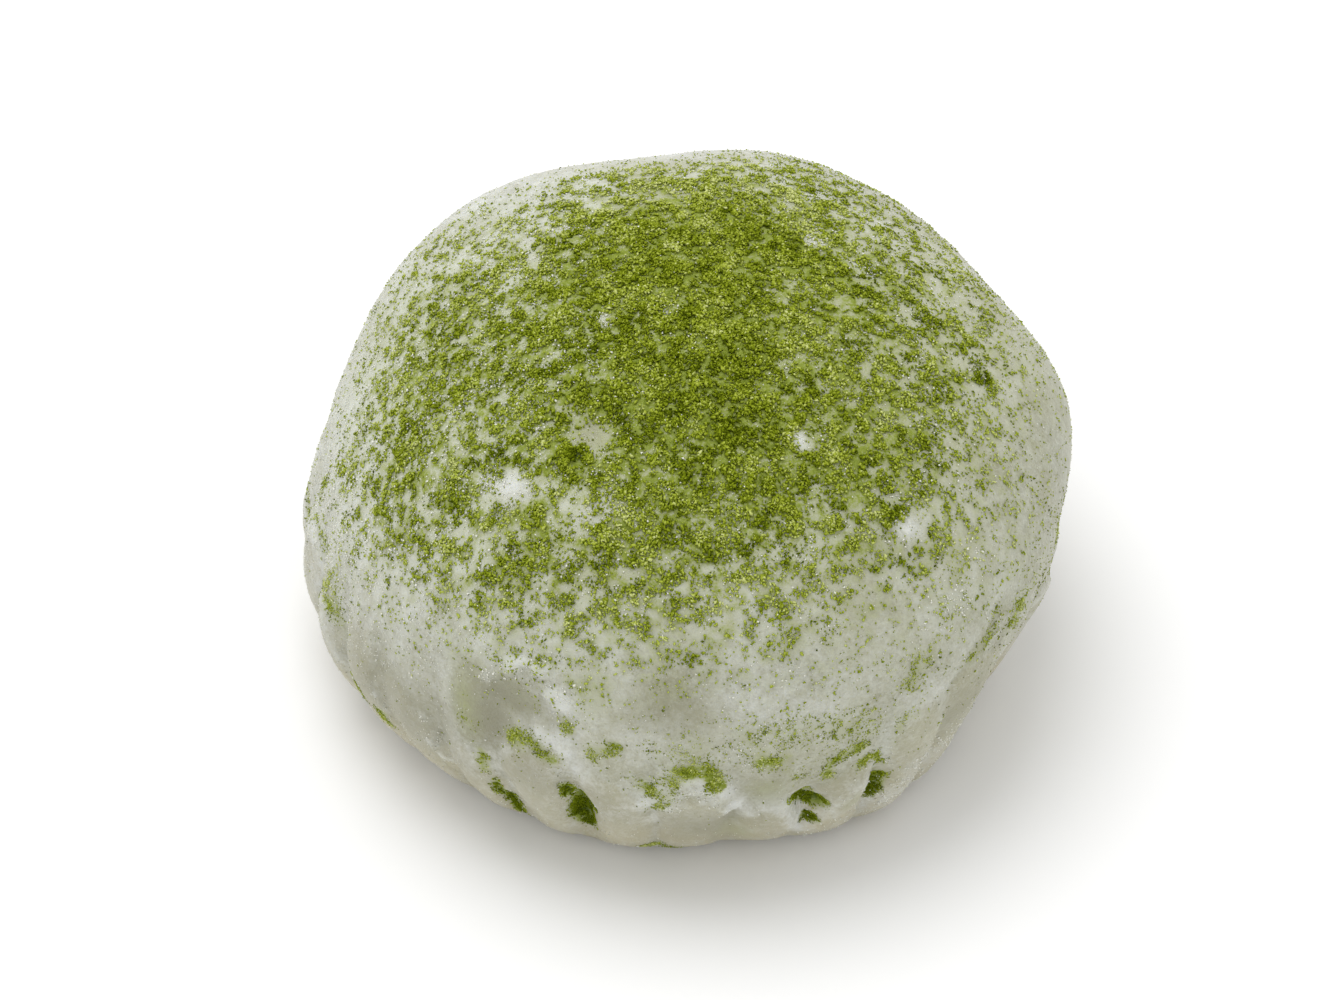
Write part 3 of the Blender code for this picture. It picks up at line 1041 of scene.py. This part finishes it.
powder_look = powder_material()
likely_flakes = layers * smooth_step(-0.1, 0.5, skin_cover) + 0.8 * skin_ledges + 0.018 * loose
likely_crumbs = layers + 2.8 * skin_ledges + 0.020 * loose
likely_dust = layers + 3.4 * skin_ledges + 0.050 * loose
powder_piece(
    "matcha_flakes", 61, FLAKE_COUNT, FLAKE_LENGTHS, FLAKE, PEAKED_FACES, POWDER_TILT, likely_flakes
)
powder_piece(
    "matcha_crumbs", 62, CRUMB_COUNT, CRUMB_LENGTHS, CRUMB, PEAKED_FACES, POWDER_TILT, likely_crumbs
)
powder_piece("matcha_dust", 63, DUST_COUNT, DUST_LENGTHS, CHIP, CHIP_FACES, DUST_TILT, likely_dust)


def starch_piece(name, seed, count, lengths, likely):
    """Scatter one kind of starch grain over the skin and join it into a piece."""
    rng = np.random.default_rng(seed)
    at = scatter(rng, likely, count)
    length = rng.uniform(*lengths, count) * rng.uniform(0.6, 1.0, count)
    normals = unit(at(skin_normals))
    centres = at(skin_points) + normals * (0.02 + 0.12 * at(skin_share))[:, None]
    shade = rng.random(count)
    parts = grains(rng, centres, normals, length, CRUMB, PEAKED_FACES, STARCH_TILT, shade)
    return make_piece(name, *parts, starch_look, "rice_starch")


starch_look = starch_material()
likely_glitter = (0.05 + spots(skin_points, GLITTERING_PATCHES)) * (1.0 - skin_share) ** 2
likely_glitter = (likely_glitter + 0.2 * skin_white) * (1.0 - 0.7 * skin_bare_and_shaded)
likely_lumps = skin_white * smooth_step(-0.3, 0.5, noise(skin_points, 0.9, 66))
likely_lumps += 0.12 * smooth_step(0.2, 0.6, skin_cover) * (1.0 - skin_share) ** 2 + 0.002
likely_lumps *= 1.0 - skin_bare_and_shaded
starch_piece("starch_grains", 64, STARCH_GRAIN_COUNT, STARCH_GRAIN_LENGTHS, likely_glitter)
starch_piece("starch_crumbs", 65, STARCH_CRUMB_COUNT, STARCH_CRUMB_LENGTHS, likely_lumps)


# ---------------------------------------------------------------- studio

def make_floor():
    """Make the plain pale floor."""
    nodes = Nodes("floor")
    nodes.set(Base_Color=(0.92, 0.92, 0.92, 1.0), Roughness=0.9, Specular_IOR_Level=0.0)
    mesh = bpy.data.meshes.new("floor")
    half = FLOOR_HALF_WIDTH
    corners = [(-half, -half, 0.0), (half, -half, 0.0), (half, half, 0.0), (-half, half, 0.0)]
    mesh.from_pydata(corners, [], [(0, 1, 2, 3)])
    mesh.materials.append(nodes.material)
    floor = bpy.data.objects.new("floor", mesh)
    bpy.context.scene.collection.objects.link(floor)


def make_lights():
    """Light the scene with a bright white room and one large soft lamp, up behind on the left."""
    world = bpy.data.worlds.new("room")
    world.use_nodes = True
    background = world.node_tree.nodes["Background"]
    background.inputs["Color"].default_value = (1.0, 1.0, 1.0, 1.0)
    background.inputs["Strength"].default_value = ROOM_BRIGHTNESS
    bpy.context.scene.world = world
    lamp = bpy.data.lights.new("key", "AREA")
    lamp.shape = "DISK"
    lamp.size = KEY_WIDTH
    lamp.energy = KEY_POWER
    key = bpy.data.objects.new("key", lamp)
    key.location = KEY_PLACE
    key.rotation_euler = (Vector(CORE * MM) - key.location).to_track_quat("-Z", "Y").to_euler()
    bpy.context.scene.collection.objects.link(key)


def make_camera():
    """Look down at the mochi from the front with a long lens."""
    elevation = math.radians(CAMERA_ELEVATION)
    forward = np.array((0.0, math.cos(elevation), -math.sin(elevation)))
    upward = np.array((0.0, math.sin(elevation), math.cos(elevation)))
    aim = CAMERA_AIM + CAMERA_SHIFT - CAMERA_DROP * upward
    lens = bpy.data.cameras.new("camera")
    lens.sensor_width = CAMERA_SENSOR
    lens.lens = CAMERA_LENS
    lens.clip_start = 0.01
    camera = bpy.data.objects.new("camera", lens)
    camera.location = Vector((aim - forward * CAMERA_DISTANCE) * MM)
    camera.rotation_euler = Vector(forward).to_track_quat("-Z", "Y").to_euler()
    bpy.context.scene.collection.objects.link(camera)
    bpy.context.scene.camera = camera


make_floor()
make_lights()
make_camera()
bpy.context.scene.view_settings.view_transform = "Standard"
